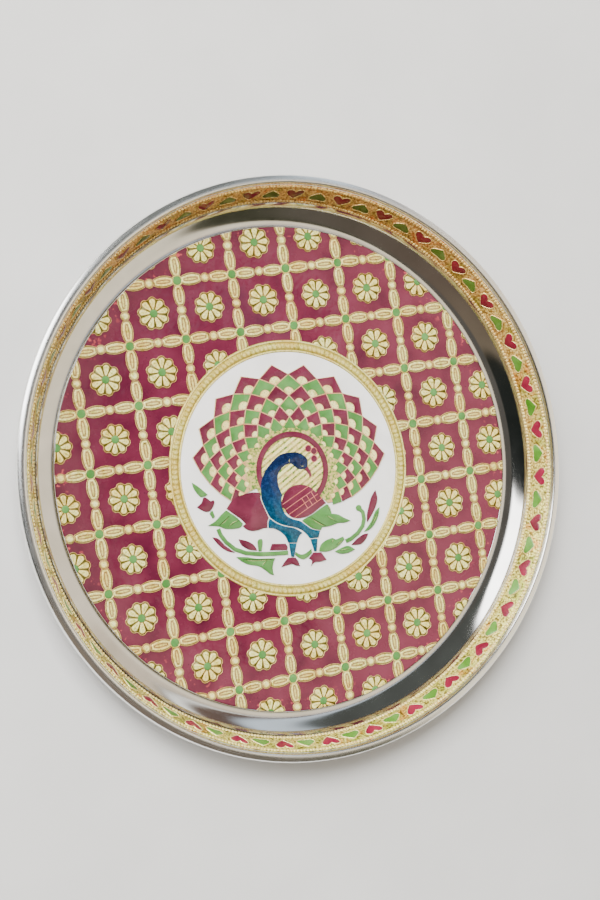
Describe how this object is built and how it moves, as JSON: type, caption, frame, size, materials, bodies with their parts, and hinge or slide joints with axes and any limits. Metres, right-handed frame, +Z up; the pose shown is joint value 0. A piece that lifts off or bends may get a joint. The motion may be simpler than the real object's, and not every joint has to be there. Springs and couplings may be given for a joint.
{
  "type": "serving plate",
  "caption": "Round polished steel serving plate with a rolled rim, an enamelled lattice floor around a peacock medallion, and an enamelled strip of hearts and leaves round its wall.",
  "frame": {"origin": "centre of the flat underside", "axes": "+Z up along the plate's axis, +Y towards the top of the peacock picture, +X to the picture's right"},
  "size_m": [0.3048, 0.3048, 0.0243],
  "materials": {
    "polished_steel": "mirror-polished stainless steel with fine turning marks",
    "bond_film": "translucent bonding film",
    "gilt_sheet": "embossed gilt sheet, satin",
    "amber_gilt": "embossed gilt strip under clear amber lacquer",
    "cream_gilt": "pale gilt relief, satin with bright crests",
    "gold_line": "gilt wire and beading, satin",
    "crimson_enamel": "glossy translucent crimson enamel",
    "ruby_enamel": "glossy ruby enamel",
    "green_enamel": "glossy soft green enamel",
    "leaf_enamel": "glossy leaf green enamel",
    "white_enamel": "glossy white enamel",
    "blue_enamel": "glossy deep blue enamel",
    "teal_enamel": "glossy teal enamel"
  },
  "bodies": {
    "root": {"steel_dish": "polished_steel", "floor_bond_film": "bond_film", "floor_gilt_sheet": "gilt_sheet", "floor_edge_ring": "polished_steel", "crimson_panels": "crimson_enamel", "barrel_beads": "cream_gilt", "round_beads": "cream_gilt", "crossing_studs": "green_enamel", "rosettes": "cream_gilt", "rosette_centres": "green_enamel", "ring_outer_line": "gold_line", "ring_inner_line": "gold_line", "ring_bead_row": "gold_line", "medallion_ground": "white_enamel", "bird_gilt_plate": "gilt_sheet", "tail_crimson_scales": "crimson_enamel", "tail_green_scales": "green_enamel", "tail_half_moons": "cream_gilt", "halo_ring": "crimson_enamel", "halo_bead_row": "gold_line", "halo_ribs": "cream_gilt", "neck": "blue_enamel", "eye": "blue_enamel", "beak": "crimson_enamel", "crest": "crimson_enamel", "right_wing": "crimson_enamel", "right_wing_wires": "gold_line", "left_wing": "crimson_enamel", "under_feathers": "green_enamel", "left_thigh": "teal_enamel", "shanks": "blue_enamel", "feet": "crimson_enamel", "flower_bud": "crimson_enamel", "green_stems": "green_enamel", "green_leaves": "green_enamel", "crimson_leaves": "crimson_enamel", "wall_bond_film": "bond_film", "wall_gilt_strip": "amber_gilt", "strip_upper_beads": "gold_line", "strip_lower_beads": "gold_line", "strip_hearts": "ruby_enamel", "strip_leaves": "leaf_enamel"}
  },
  "joints": []
}
